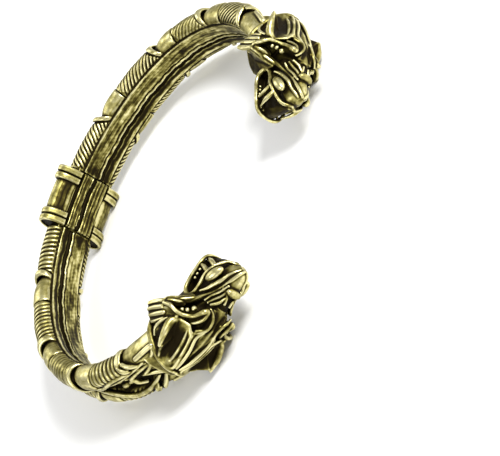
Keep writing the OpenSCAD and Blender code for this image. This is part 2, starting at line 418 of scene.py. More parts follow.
def thin_out(points, faces):
    """The same surface with fewer faces, which stay small where it bends."""
    share = MOST_TRIANGLES / (2 * len(faces))
    if share >= 1:
        return points, faces
    whole = bpy.data.objects.new("whole", make_mesh("whole", points, faces))
    bpy.context.scene.collection.objects.link(whole)
    thinning = whole.modifiers.new("thinning", "DECIMATE")
    thinning.ratio = share
    thinning.use_collapse_triangulate = True
    seen = whole.evaluated_get(bpy.context.evaluated_depsgraph_get())
    mesh = seen.to_mesh()
    mesh.calc_loop_triangles()
    points = np.empty(3 * len(mesh.vertices), np.float32)
    mesh.vertices.foreach_get("co", points)
    faces = np.empty(3 * len(mesh.loop_triangles), np.int32)
    mesh.loop_triangles.foreach_get("vertices", faces)
    seen.to_mesh_clear()
    bpy.data.objects.remove(whole)
    return points.reshape(-1, 3).astype(float), faces.reshape(-1, 3)


def make_piece(name, points, faces, shades_and_soils):
    """Smooth object with the painted shade, the dirt and the wear on its points."""
    mesh = make_mesh(name, points * MM, faces)
    mesh.polygons.foreach_set("use_smooth", np.ones(len(mesh.polygons), bool))
    for key, values in shades_and_soils.items():
        layer = mesh.attributes.new(key, "FLOAT", "POINT")
        layer.data.foreach_set("value", values.astype(np.float32))
    piece = bpy.data.objects.new(name, mesh)
    bpy.context.scene.collection.objects.link(piece)
    print(name, "triangles", (faces.shape[1] - 2) * len(mesh.polygons))
    return piece


# The arm's band, in a straightened space: (place along, across, height)

def tube_gap(s):
    """Half the gap between the two tubes, which part where the knotwork is."""
    opened = KNOT_GAP * smooth((s - KNOT_FROM) / 9)
    return opened * (1 - 0.35 * smooth((s - 56) / 5)) + 0.08


def tube(s, v, h, size, power=2.0):
    """Signed distance to a tube of the given size, and the angle round it."""
    gap = tube_gap(s)
    middle = (BAND_HALF_W + gap) / 2
    half = (BAND_HALF_W - gap) / 2
    rho, growth = oval(v - middle, h - TUBE_HALF_H, half, TUBE_HALF_H, power)
    angle = np.arctan2((v - middle) / half, (h - TUBE_HALF_H) / TUBE_HALF_H)
    return (rho - size) / growth, angle


# Inner strip: how far it stands proud of the tubes, where it starts, and the dark line beside it
STRIP_PROUD = 0.14
STRIP_FROM = 5.45
STRIP_GAP_AT = 2.92
# Hatching: distance between its grooves, half their width, and where round the tube it starts and ends
HATCH_PITCH = 0.86
HATCH_HALF_GROOVE = 0.17
HATCH_ANGLES = (-1.1, 2.95)
# A flared ring lies further on at the cleft than at the band's edge, and a little past its table's place
RING_SWEEP = 1.2
RING_BEYOND = 0.45
# Its rim: radius, half the flat between its rounded edges, and how far back its middle lies
RIM_RADIUS = 0.28
RIM_HALF_FLAT = 0.2
RIM_MIDDLE = 0.42
# Depth of the cup behind the rim, and of the place in it where the smooth stretch starts
CUP_DEPTH = 1.5
STEM_DEPTH = 1.4
# Tongue inside the sleeve
TONGUE_HALF_W = 3.6
TONGUE_LOW = 0.5
TONGUE_HIGH = 3.2
TONGUE_FROM = 0.12
TONGUE_TO = 6


def hatching(s, angle, depth, lean):
    """Leaning grooves, a little uneven in depth."""
    round_way = 2.15 * (math.pi - angle)
    phase = (s - lean * round_way) / HATCH_PITCH
    rib = np.round(phase)
    gap = np.abs(phase - rib) * HATCH_PITCH * 0.82
    uneven = 0.8 + 0.2 * np.sin(12.3 * rib + 1.7 * s)
    return depth * uneven * np.exp(-(gap / HATCH_HALF_GROOVE) ** 2) - 0.25 * depth


def carve_bead(field, start, ring, end, depth, lean, ring_lean):
    """A hatched stretch, its flared hollow ring and the smooth stretch behind it."""
    low, high = [start - 0.2, 0, -0.2], [end + 0.2, 5.2, 5.0]
    where, (s, v, h) = field.window(low, high)
    leaned = s + ring_lean * (h / (2 * TUBE_HALF_H) - 0.5)
    leaned = leaned + RING_SWEEP * (2 * v / BAND_HALF_W - 1) - RING_BEYOND
    # Hatched stretch with its flared ring
    place = [start, start + 0.5, (start + ring) / 2, ring - 1.5, ring - 1.05, ring - 0.85, ring]
    size = np.interp(leaned, place, [0.9, 0.97, 1.02, 0.97, 0.86, 1.0, 1.0])
    d, angle = tube(s, v, h, size)
    inside = smooth((s - start - 0.2) / 0.4) * smooth((ring - 1.1 - leaned) / 0.2)
    first, last = HATCH_ANGLES
    inside = inside * smooth((last - angle) / 0.2) * smooth((angle - first) / 0.4)
    d = d + inside * hatching(s, angle, depth, lean)
    d = np.maximum(d, np.maximum(start - s, leaned - ring))
    rim, _ = tube(s, v, h, 1.0)
    off_rim = np.maximum(np.abs(leaned - ring + RIM_MIDDLE) - RIM_HALF_FLAT, 0)
    rim = np.sqrt(rim ** 2 + off_rim ** 2) - RIM_RADIUS * smooth((h + 0.05) / 0.5)
    d = soft_min(d, rim, 0.05)
    # Cup of the ring, open away from the sleeve
    size = np.interp(leaned, [ring - CUP_DEPTH, ring - 0.3, ring], [0.6, 0.8, 0.9])
    cup, _ = tube(s, v, h, size)
    cup = np.maximum(cup, np.maximum(ring - CUP_DEPTH - leaned, 1.0 - h))
    d = np.maximum(d, -cup)
    # Smooth stretch that comes out of the cup
    stem = ring - STEM_DEPTH
    place = [stem, ring - 0.9, ring - 0.2, ring + 0.6, ring + 1.5, ring + 2.6, end - 0.35, end]
    size = np.interp(s, place, [0.4, 0.58, 0.74, 0.87, 0.96, 1.0, 1.0, 0.88])
    plain, _ = tube(s, v, h + 1.2 * (1 - size), size, 2.3)
    plain = np.maximum(plain, np.maximum(stem - s, s - end + 0.12))
    field.join(where, np.minimum(d, plain), 0.04)


# Straps of the knotwork, each a row of (place along, across, height, radius)
STRAPS = [
    # Long strap from the cleft over the fourth hatched stretch
    [(44.2, 0.0, 3.0, 0.34), (46.4, 0.8, 3.4, 0.38), (48.6, 1.9, 3.75, 0.42),
     (50.7, 2.8, 3.9, 0.44), (52.9, 2.8, 3.85, 0.42), (54.5, 2.4, 3.7, 0.36),
     (56.0, 1.8, 3.5, 0.26)],
    # Straps that leave the fourth ring
    [(54.6, 4.4, 3.5, 0.32), (55.1, 3.9, 3.95, 0.36), (55.9, 3.2, 4.0, 0.38),
     (57.0, 2.2, 3.6, 0.28)],
    [(53.6, 4.3, 3.6, 0.24), (54.1, 3.9, 4.0, 0.26), (54.7, 3.4, 4.1, 0.22)],
    # Inverted V
    [(56.9, 4.0, 3.8, 0.36), (58.6, 4.2, 3.9, 0.4), (60.1, 4.1, 3.9, 0.42),
     (59.6, 3.3, 3.9, 0.42), (58.4, 2.4, 3.8, 0.42), (56.6, 0.9, 3.5, 0.4),
     (54.4, -0.2, 3.2, 0.32)],
    [(59.2, 2.3, 3.4, 0.34), (57.6, 1.1, 3.2, 0.34), (56.2, 0.0, 3.0, 0.28)],
    # Near corner of the opening
    [(53.6, 1.7, 3.2, 0.3), (52.8, 0.7, 3.4, 0.36), (52.8, -0.3, 3.4, 0.36)],
]
# Straps on one side only
LONE_STRAPS = [
    [(52.8, 0.4, 3.4, 0.34), (52.7, -0.6, 3.4, 0.38), (53.9, -1.3, 3.5, 0.42),
     (55.5, -1.6, 3.5, 0.44), (57.5, -1.7, 3.5, 0.44), (59.6, -1.6, 3.5, 0.4)],
    [(47.9, -0.9, 3.1, 0.24), (49.9, -1.4, 3.4, 0.3), (52.3, -2.0, 3.7, 0.32),
     (54.6, -2.5, 3.9, 0.32), (57.0, -2.8, 4.0, 0.26)],
    [(44.5, -1.7, 3.6, 0.24), (46.8, -1.8, 3.8, 0.26), (48.9, -1.7, 3.7, 0.22)],
]
# Small leaves between the straps: (place along, across, height, radius)
LEAVES = [(49.9, 0.9, 2.6, 0.6), (51.3, 0.6, 2.6, 0.45), (52.0, 1.6, 2.5, 0.4)]

# Grooves of the inner face: (middle, half width, depth)
GROOVES = [(-0.95, 0.38, 0.5), (-1.75, 0.45, 0.08), (-0.05, 0.1, 0.2)]
LIP_AT = -0.42
LIP_RADIUS = 0.16


def carve_band(lean, ring_lean):
    """The band of one arm, with the lean of its hatching and of its rings."""
    field = Field([0.0, 0.0, -0.36], [NECK_AT + 1.5, 5.4, 5.4], [0.125, 0.12, 0.12])
    for bead in BEADS:
        carve_bead(field, *bead, lean, ring_lean)
    # Floor under the knotwork, and the inner strip that carries both tubes
    where, (s, v, h) = field.window([5.4, 0, 0], [NECK_AT, 3.5, 2.5])
    top = np.where(s > KNOT_FROM, 2.3, 1.5)
    strip = np.maximum(np.abs(v) - STRIP_HALF_W, np.maximum(-STRIP_PROUD - h, h - top))
    strip = np.maximum(strip, np.maximum(STRIP_FROM - s, s - NECK_AT))
    field.join(where, strip, 0.1)
    for strap in STRAPS:
        rod(field, strap, 0.08)
    rod(field, [(57.0, 4.75, 3.1, 0.16), (60.3, 4.75, 3.1, 0.16)], 0.04, remove=True)
    for s0, v0, h0, r0 in LEAVES:
        lump(field, (s0, v0, h0), (r0 * 1.7, r0, r0), ahead=(1, -0.4, 0), blend=0.1)
    # Dark line between the strip and the tube
    rod(field, [(5.0, STRIP_GAP_AT, 0.0, 0.2), (NECK_AT, STRIP_GAP_AT, 0.0, 0.2)], 0.05, remove=True)
    # Tongue inside the sleeve
    where, (s, v, h) = field.window([0, 0, 0.5], [6, 3.6, 3.2])
    core = np.maximum(v - TONGUE_HALF_W, np.maximum(TONGUE_LOW - h, h - TONGUE_HIGH))
    field.join(where, np.maximum(core, np.maximum(TONGUE_FROM - s, s - TONGUE_TO)))
    field = field.mirrored(1)
    for strap in LONE_STRAPS:
        rod(field, strap, 0.08)
    # Uneven grooves along the inner face, with a raised lip beside the deepest
    where, (s, v, h) = field.window([5.4, -2.2, -0.4], [NECK_AT, 2.2, 1.6])
    sway = 0.08 * np.sin(0.9 * s) + 0.05 * np.sin(2.7 * s + 1)
    for middle, half, depth in GROOVES:
        groove = np.sqrt(((v - middle - sway) / half) ** 2
                         + ((h + STRIP_PROUD) / depth) ** 2) - 1
        field.cut(where, groove * half, 0.05)
    lip = np.sqrt((v - sway - LIP_AT) ** 2 + (h + STRIP_PROUD - 0.02) ** 2) - LIP_RADIUS
    field.join(where, np.maximum(lip, np.maximum(5.6 - s, s - NECK_AT)), 0.08)
    # Uneven casting of the strips
    strips = smooth((0.4 - h) / 0.3) * smooth((s - 5.4) / 0.4)
    worn = (np.sin(3.1 * s + 2 * v) + np.sin(5.3 * s - 3.1 * v + 1) + np.sin(7.9 * s + 5 * v)) / 3
    field.values[where] += 0.02 * strips * worn
    return field


def band_patina_and_shade(q):
    """Stain, painted shade and streaks: darker inner face, with painted shade most of all beside the
    sleeve, and bright smooth stretches.
    """
    s, v = q[:, 0], q[:, 1]
    inner = smooth((0.5 - q[:, 2]) / 0.4)
    patches = np.sin(0.9 * s + 2 * v) + np.sin(2.3 * s - 3 * v + 1)
    # Painted shade on the inner face beside the sleeve, where the sleeve shades the arm
    dark = 0.06 + 0.36 * smooth((9.5 - s) / 3.5)
    plain = 0.5 * smooth((s - 57.5) / 1)
    for _, ring, end, _ in BEADS:
        plain = plain + smooth((s - ring) / 0.5) * smooth((end - s) / 0.3)
    return inner * (dark + 0.05 * patches) - 0.09 * (1 - inner) * plain, inner


# The head, in its straight frame: (ahead, up, across)

# Sections of its main forms: (ahead, low, high, half width below, half width above)
SKULL = [
    (-8.0, 0.9, 4.1, 3.6, 3.2), (-5.0, 0.2, 5.4, 4.0, 1.6), (-1.5, -1.0, 6.2, 4.3, 1.5),
    (1.0, -1.7, 6.6, 3.6, 2.0), (3.0, -1.4, 6.9, 2.9, 1.8), (4.8, 0.2, 6.8, 2.4, 1.4),
    (6.2, 1.5, 6.2, 1.8, 1.2),
]
SNOUT = [
    (2.5, 0.8, 5.5, 2.7, 1.6), (4.5, 1.0, 5.8, 2.6, 1.4), (6.5, 1.2, 5.7, 2.7, 1.3),
    (8.5, 1.2, 5.3, 2.8, 1.2), (10.2, 1.0, 5.1, 2.4, 1.1), (11.5, 1.1, 4.8, 1.6, 1.0),
    (12.1, 1.8, 4.5, 0.9, 0.8), (12.6, 2.6, 4.1, 0.5, 0.4),
]
JAW = [
    (2, -1.9, 0.2, 2.6, 2.8), (4.8, -2.5, -1.6, 2.5, 2.7), (7.6, -3.4, -2.6, 2.2, 2.4),
    (9.4, -4.0, -3.3, 1.2, 1.5),
]
WEB = [
    (3.0, -1.5, 1.5, 1.3, 1.3), (6.0, -2.6, 1.6, 1.2, 1.3), (9.0, -3.6, 1.6, 1.3, 1.6),
    (10.3, -2.5, 1.5, 1.0, 1.4), (11.5, -0.3, 1.5, 0.6, 1.0), (12.2, 0.9, 1.7, 0.3, 0.5),
]
TONGUE = [(3, -1.6, 0.2, 1.2, 1.4), (6, -2.3, -0.8, 1.2, 1.5), (8.0, -3.0, -1.9, 0.9, 1.0)]

# Ridges of one side, each a row of (ahead, up, across, radius), and sheets, each a row of corners
LIP = [
    (3.7, 0.9, 2.9, 0.34), (4.9, 1.2, 2.8, 0.32), (6.3, 1.2, 2.95, 0.3), (7.8, 1.1, 3.25, 0.3),
    (8.9, 1.2, 3.3, 0.3), (10.0, 1.1, 2.9, 0.28), (10.9, 0.9, 2.1, 0.28), (11.5, 0.9, 1.4, 0.28),
    (11.8, 1.2, 0.7, 0.28), (12.1, 1.7, 0.0, 0.28),
]
JAW_RIM = [
    (3.8, 1.1, 2.9, 0.34), (3.6, 0.1, 3.0, 0.36), (3.8, -0.8, 3.0, 0.34), (4.4, -1.4, 3.0, 0.32),
    (5.4, -1.8, 3.0, 0.32), (6.8, -2.0, 3.1, 0.32), (8.1, -2.5, 2.9, 0.32), (9.0, -3.2, 2.3, 0.32),
    (9.4, -3.6, 1.5, 0.3), (9.5, -3.7, 0.5, 0.3), (9.5, -3.7, 0.0, 0.3),
]
BROW = [
    (1.3, 1.4, 6.2, 0.3), (2.3, 2.3, 5.8, 0.34), (2.9, 2.7, 4.9, 0.28), (3.2, 2.5, 3.9, 0.28),
    (4.0, 2.7, 3.2, 0.3), (5.2, 3.1, 2.8, 0.3), (6.3, 3.4, 2.2, 0.28), (7.4, 3.7, 1.7, 0.28),
    (9.0, 4.1, 1.4, 0.28), (10.6, 4.3, 1.1, 0.28), (11.9, 4.3, 0.7, 0.26), (12.5, 4.1, 0.2, 0.24),
]
# Lower edge of the leaf where the brow begins
LEAF_EDGE = [
    (1.2, 1.2, 6.2, 0.2), (2.2, 1.7, 6.1, 0.26), (2.8, 1.9, 5.4, 0.22), (3.2, 2.0, 4.5, 0.14),
]
LID = [
    (5.8, 2.1, 2.7, 0.2), (6.9, 2.8, 2.5, 0.28), (8.1, 3.2, 2.3, 0.36), (9.4, 3.5, 2.0, 0.38),
    (10.6, 3.5, 1.6, 0.26), (11.6, 3.6, 1.1, 0.24), (12.3, 3.6, 0.5, 0.22),
]
CHEEK_LIP = [
    (1.4, 2.0, 6.2, 0.36), (2.1, 3.5, 6.1, 0.32), (2.1, 4.5, 5.3, 0.3), (2.2, 4.8, 4.4, 0.32),
    (2.6, 5.2, 3.6, 0.34), (3.2, 5.7, 3.1, 0.34), (4.1, 6.2, 2.9, 0.36), (4.9, 6.6, 2.8, 0.44),
    (5.2, 6.7, 2.4, 0.4),
]
CHEEK_EDGE = [
    (-1.4, 0.4, 5.4, 0.3), (-0.9, -0.3, 4.7, 0.34), (-0.1, -1.1, 3.8, 0.34), (0.4, -1.7, 3.0, 0.32),
    (1.2, -2.0, 2.2, 0.26),
]
SCROLL = [(5.1, 6.8, 2.3, 0.36), (4.1, 6.9, 2.2, 0.3), (3.0, 6.5, 2.4, 0.26), (2.1, 6.0, 2.8, 0.18)]
COLLAR = [
    (0.2, 0.2, 4.9, 0.36), (-1.8, 0.2, 4.9, 0.42), (-3.8, 1.2, 4.6, 0.48), (-4.8, 3.0, 3.9, 0.5),
    (-5.6, 4.8, 2.9, 0.42), (-5.9, 6.0, 1.9, 0.3), (-5.9, 6.6, 1.0, 0.3), (-5.8, 6.8, 0.2, 0.3),
]
EAR = [
    (-3.0, 6.5, 4.7), (-4.2, 5.6, 3.8), (-5.4, 5.2, 2.9), (-5.8, 6.2, 1.8), (-5.4, 6.7, 0.7),
    (-3.5, 7.0, 1.1), (-1.5, 7.1, 1.4), (0.6, 6.9, 1.9), (1.8, 6.2, 3.0), (1.4, 4.8, 4.2),
    (0.0, 4.8, 4.6), (-1.8, 5.4, 4.8),
]
EAR_ARC = [
    (1.3, 4.5, 4.3, 0.4), (0.4, 4.6, 4.9, 0.66), (-0.5, 5.2, 5.2, 0.62), (-1.4, 5.8, 5.3, 0.52),
    (-2.2, 6.2, 5.2, 0.36), (-3.1, 6.7, 5.0, 0.12),
]
# Wall that carries the ear's arc
EAR_WALL = [
    (1.4, 4.6, 4.3), (0.6, 4.8, 4.8), (-0.3, 5.3, 5.3), (-1.4, 5.8, 5.5), (-2.3, 6.2, 5.4),
    (-3.1, 6.6, 5.1), (-2.9, 5.5, 4.7), (-1.7, 4.7, 4.6), (-0.4, 4.1, 4.3), (0.9, 3.9, 4.0),
]
EAR_BACK = [
    (-5.8, 6.3, 1.6, 0.24), (-5.3, 6.8, 0.8, 0.28), (-3.5, 7.1, 1.0, 0.28), (-1.5, 7.2, 1.3, 0.22),
    (0.4, 7.0, 1.8, 0.14),
]
EAR_FOLD = [(-3.3, 3.6, 4.9, 0.16), (-2.4, 3.1, 5.3, 0.24), (-1.0, 3.4, 5.5, 0.26), (0.3, 4.1, 5.5, 0.18)]
EAR_RIBS = [
    [(-4.8, 6.3, 1.6, 0.16), (-2.8, 6.6, 1.9, 0.32), (-0.8, 6.6, 2.3, 0.3), (1.0, 6.3, 2.8, 0.14)],
    [(-4.4, 6.7, 1.0, 0.16), (-2.6, 7.1, 1.3, 0.32), (-0.6, 7.0, 1.7, 0.3), (1.2, 6.7, 2.2, 0.16)],
]
TABS = [
    [(1.3, 1.3, 6.1, 0.46), (0.0, 0.0, 6.25, 0.44), (-1.0, -0.8, 6.3, 0.38)],
    [(0.8, 2.1, 6.0, 0.46), (-0.5, 0.8, 6.15, 0.42), (-1.6, -0.2, 6.1, 0.36)],
    [(0.3, 2.8, 5.7, 0.42), (-1.0, 1.6, 5.8, 0.4), (-2.1, 0.5, 5.7, 0.34)],
    [(-0.4, 3.3, 5.4, 0.3), (-1.6, 2.3, 5.4, 0.3), (-2.6, 1.2, 5.2, 0.26)],
]
FLANGE = [
    (1.6, 1.6, 6.0), (0.2, 0.2, 6.1), (-1.0, -0.8, 6.2), (-1.5, -0.3, 6.0), (-2.0, 0.2, 5.7),
    (-2.5, 0.9, 5.2), (-1.6, 2.4, 5.1), (0.0, 3.6, 5.0), (1.7, 4.3, 5.0), (2.0, 3.4, 5.9),
]
# Roof between the ears and the rear eyes
ROOF = [
    (-5.5, 6.4, 0.0), (-5.3, 6.6, 0.7), (-3.5, 6.9, 0.9), (-1.5, 7.0, 1.2), (0.6, 6.8, 1.7),
    (1.6, 6.7, 1.7), (2.6, 7.1, 0.9), (4.2, 7.1, 0.8), (4.9, 6.6, 1.2), (5.5, 6.0, 1.1),
    (5.7, 5.9, 0.0), (3.0, 7.2, 0.0), (0.0, 7.3, 0.0),
]
# Plate from the cheek down to the hinge of the jaw
HINGE = [
    (-1.4, 0.4, 5.4), (-0.9, -0.3, 4.7), (-0.1, -1.1, 3.8), (0.4, -1.7, 3.0), (1.2, -2.0, 2.2),
    (2.6, -1.2, 2.4), (3.5, 0.2, 2.9), (4.2, 1.2, 2.9), (4.6, 2.3, 3.0), (3.3, 1.7, 4.2),
    (2.4, 1.5, 5.6), (1.0, 1.0, 6.0),
]
BROW_LEAF = [
    (1.3, 1.4, 6.2), (2.3, 2.3, 5.8), (2.9, 2.7, 4.9), (3.2, 2.5, 3.9), (4.0, 2.7, 3.2),
    (4.8, 2.8, 3.0), (3.9, 2.2, 3.5), (3.3, 1.8, 4.3), (2.9, 1.9, 5.3), (2.2, 1.7, 6.1),
]
FANGS = [
    [(8.7, 1.2, 3.2, 0.4), (8.5, -0.4, 3.1, 0.36), (8.1, -1.9, 2.9, 0.2)],
    [(10.0, 1.0, 2.9, 0.38), (9.8, -0.7, 2.8, 0.34), (9.3, -2.6, 2.2, 0.1)],
]
EYE = (9.3, 2.3, 2.85)
EYE_RADII = (1.65, 0.8, 0.78)
# Teeth of the jaw, of its front and of the rear mouth
TEETH = [
    (5.9, -1.4, 2.6, 0.25), (6.6, -1.55, 2.65, 0.25), (7.3, -1.85, 2.6, 0.25),
    (8.9, -2.9, 1.8, 0.26), (9.1, -3.0, 1.1, 0.26), (9.1, -3.0, 0.4, 0.26),
    (2.6, 4.1, 4.4, 0.36), (3.1, 4.5, 3.9, 0.36), (3.9, 4.8, 3.3, 0.44),
]
NOSE_BARS = [
    [(5.7, 4.2, 2.4, 0.2), (6.8, 4.1, 1.9, 0.24), (8.0, 4.5, 1.5, 0.24), (9.6, 4.8, 1.2, 0.18)],
    [(5.8, 4.8, 2.1, 0.22), (6.8, 4.9, 1.6, 0.24), (7.8, 5.1, 1.2, 0.24), (8.9, 5.1, 0.9, 0.18)],
    [(6.0, 5.5, 1.9, 0.22), (7.0, 5.7, 1.2, 0.24), (7.9, 5.6, 0.8, 0.2)],
    [(8.8, 4.4, 1.4, 0.18), (8.7, 5.1, 0.9, 0.2), (8.1, 5.6, 0.6, 0.2), (7.2, 6.0, 0.5, 0.2)],
]
CREST = [
    (-5.0, 7.0, 0.3, 0.2), (-3.4, 7.4, 0.6, 0.28), (-1.4, 7.5, 0.9, 0.28), (0.8, 7.2, 1.3, 0.26),
    (2.2, 7.3, 0.9, 0.2),
]
SOCKET_RIM = [
    (5.6, 6.3, 2.0, 0.2), (5.2, 6.9, 1.5, 0.24), (4.4, 7.3, 1.0, 0.24), (3.2, 7.4, 0.8, 0.24),
    (2.1, 7.2, 1.1, 0.26), (1.3, 6.8, 1.7, 0.26), (0.8, 6.5, 2.3, 0.2),
]
# Cheek, a smooth wedge that flares to the corner of the rear mouth
CHEEK = [
    (-2.4, 1.8, 4.2), (-1.0, 0.2, 5.2), (0.8, 0.4, 5.7), (1.5, 1.8, 5.9), (2.0, 3.4, 5.8),
    (1.7, 4.6, 4.8), (0.2, 4.6, 4.6),
]
# Pointed fold over the neck
NECK_FOLD = [
    (-3.4, 1.3, 4.3), (-4.6, 3.1, 3.6), (-5.4, 4.6, 2.7), (-5.8, 5.8, 1.6), (-5.8, 6.1, 0.0),
    (-2.0, 5.0, 0.0), (-1.0, 3.5, 3.4),
]
# Backing below the ear
BELOW_EAR = [
    (-1.6, 0.6, 4.6), (-3.4, 1.5, 4.2), (-4.4, 3.1, 3.5), (-4.8, 4.8, 2.9), (-3.0, 5.0, 3.6),
    (-1.0, 4.0, 4.2), (0.0, 2.6, 4.6),
]
# Hollows: the trough between the ear and the collar, the mouth, and the slots beside the brow
EAR_TROUGH = [(-2.8, 2.6, 4.9, 0.2), (-3.4, 3.8, 4.6, 0.5), (-4.0, 5.0, 3.6, 0.5), (-4.4, 5.8, 2.8, 0.3)]
MOUTH = [(5.2, -0.2, 2.9, 0.8), (7.0, -0.4, 2.5, 1.3), (9.4, -0.9, 2.6, 1.5), (11.6, -1.4, 2.3, 1.4)]
BROW_SLOT = [(6.0, 2.6, 2.9, 0.2), (8.2, 3.7, 2.0, 0.24), (10.4, 4.0, 1.7, 0.2), (12.0, 4.0, 1.2, 0.12)]


def carve_head():
    """One side of the head, then mirrored."""
    field = Field([-9.0, -5.2, 0.0], [14.2, 8.8, 7.4], [0.115, 0.115, 0.115])
    for rows in (SKULL, SNOUT, JAW, WEB, TONGUE):
        loft(field, rows)
    # Side of the head, from the cheek to the neck
    plate(field, CHEEK, (0.4, 2.3, 5.2), 0.3, 0.2)
    lump(field, (0.0, 2.4, 3.4), (2.2, 2.2, 1.9))
    plate(field, FLANGE, (-0.2, 1.6, 5.8), 0.3, 0.12)
    plate(field, HINGE, (1.4, 0.2, 4.0), 0.3, 0.5)
    plate(field, NECK_FOLD, (-3.8, 4.0, 2.4), 0.22, 0.2)
    # Crest between the ears
    lump(field, (-2.2, 6.1, 0.0), (3.0, 1.0, 1.7), ahead=(1, 0.12, 0), blend=0.4)
    plate(field, ROOF, (0.2, 7.0, 0.6), 0.3, 0.3)
    # Rear mouth, cut deep between the cheek and the snout
    lump(field, (4.9, 4.35, 3.6), (2.1, 1.15, 2.1), ahead=(1, 0.45, -0.5), blend=0.1, remove=True)
    # Eye hollow of the rear beast
    lump(field, (3.4, 7.2, 2.0), (1.3, 0.8, 0.9), ahead=(1, 0.3, 0.1), blend=0.1, remove=True)
    rod(field, EAR_TROUGH, 0.1, remove=True)
    # Socket of the front beast's eye
    lump(field, (9.2, 2.4, 3.0), (2.7, 1.15, 1.0), ahead=(1, 0.1, -0.2), blend=0.1, remove=True)
    rod(field, MOUTH, 0.1, remove=True)
    rod(field, BROW_SLOT, 0.05, remove=True)
    for rows in (LIP, JAW_RIM, BROW, LEAF_EDGE, LID, CHEEK_LIP, CHEEK_EDGE, SCROLL, COLLAR,
                 SOCKET_RIM):
        rod(field, rows, 0.06)
    # Leaf where the brow begins
    lump(field, (2.6, 2.5, 5.0), (1.5, 0.34, 0.6), ahead=(0.5, 0.3, -1.3), side=(0.6, -0.7, 0.2),
         blend=0.1)
    plate(field, BELOW_EAR, (-2.4, 2.9, 4.1), 0.2, 0.1)
    plate(field, BROW_LEAF, (2.9, 2.15, 4.9), 0.24, 0.1)
    # Ear, a hollow leaf that stands off the side
    plate(field, EAR, (-1.2, 5.0, 3.2), 0.22)
    plate(field, EAR_WALL, (-0.7, 5.0, 4.8), 0.26)
    for rows in [EAR_ARC, EAR_BACK, EAR_FOLD] + EAR_RIBS:
        rod(field, rows, 0.06)
    for rows in TABS + FANGS + NOSE_BARS + [CREST]:
        rod(field, rows, 0.04)
    for tooth in TEETH:
        lump(field, tooth[:3], [tooth[3]] * 3, blend=0.03)
    # Eye with a flattened face
    lump(field, EYE, EYE_RADII, ahead=(1, 0.2, -0.16), blend=0.03)
    # Lobe on the snout
    lump(field, (9.1, 5.4, 0.0), (0.65, 0.75, 1.3), blend=0.08)
    return field.mirrored(2)


# Darker spots of the head, painted shade in its hollows together with their patina, and lighter ones with a
# minus, painted light on the cheek and the snout: (centre, reach, strength)
SHADE_LIGHT_AND_STAINS = [
    ((-1.8, 5.6, 3.0), 2.7, 0.5), ((1.2, -0.6, 3.8), 1.8, 0.3), ((0.2, 2.1, 5.7), 1.8, -0.4),
    ((-3.5, 4.4, 3.6), 1.9, 0.3), ((5.0, 4.2, 3.0), 1.9, 0.3), ((7.2, 5.2, 1.6), 1.4, 0.12),
    ((10.8, 4.0, 0.8), 2.0, -0.25), ((4.0, 6.9, 1.0), 1.6, 0.35),
]


def near(q, centre, reach):
    """Strength of a spot, 1 at its centre."""
    return np.exp(-(((q - centre) / reach) ** 2).sum(1) ** 2)


def head_patina_light_and_shade(q):
    """Stain, painted shade and painted light, and no streaks: painted shade with patina in the mouth and
    the ear, painted light on the cheek and the snout, rubbed bright on the teeth and the eye.
    """
    q = np.column_stack([q[:, :2], np.abs(q[:, 2])])
    ahead, up, across = q.T
    above_jaw = up + 0.9 + 0.33 * (ahead - 2)
    # Painted shade inside the mouth
    mouth = smooth((ahead - 3.4) / 0.8) * smooth((0.9 - up) / 0.4)
    mouth = mouth * smooth((2.3 - across) / 0.4) * smooth(above_jaw / 0.4)
    dark = 0.08 + 0.45 * mouth
    for centre, reach, strength in SHADE_LIGHT_AND_STAINS:
        dark = dark + strength * near(q, centre, reach)
    bright = near(q, EYE, (1.9, 1.2, 1.0))
    for rib in EAR_RIBS + [CREST, EAR_ARC]:
        for row in curve(rib):
            bright = bright + 0.5 * near(q, row[:3] + [0, 0.15, 0.1], 0.5)
    for tooth in TEETH:
        bright = bright + near(q, tooth[:3], 1.25 * tooth[3])
    for fang in FANGS:
        for row in fang:
            bright = bright + 0.6 * near(q, row[:3], 0.5)
    return dark - 0.3 * np.minimum(bright, 1), np.zeros(len(q))


# The sleeve, in the straightened space

# Its half lengths: the bare core, the barrels, the cleft and the middle of each ring
CORE_HALF = 4.9
BARREL_HALF = 4.6
CLEFT_HALF = 2.75
SLEEVE_RINGS = (3.32, 4.62)
# How far its top lies below the solid's, and the squareness of its section
SLEEVE_LOWERED = 0.35
SLEEVE_POWER = 2.25
# Rounding of a ring's edges, and half the flat between them
RING_RADIUS = 0.3
RING_HALF_FLAT = 0.28
# Inner plate, and the trench beside it
INNER_PLATE_HALF_W = 2.5
TRENCH_AT = 2.75
GRAIN_DEPTH = 0.045
# Bore for the arms
BORE_HALF_W = 3.72
BORE_LOW = 0.38
BORE_HIGH = 3.32


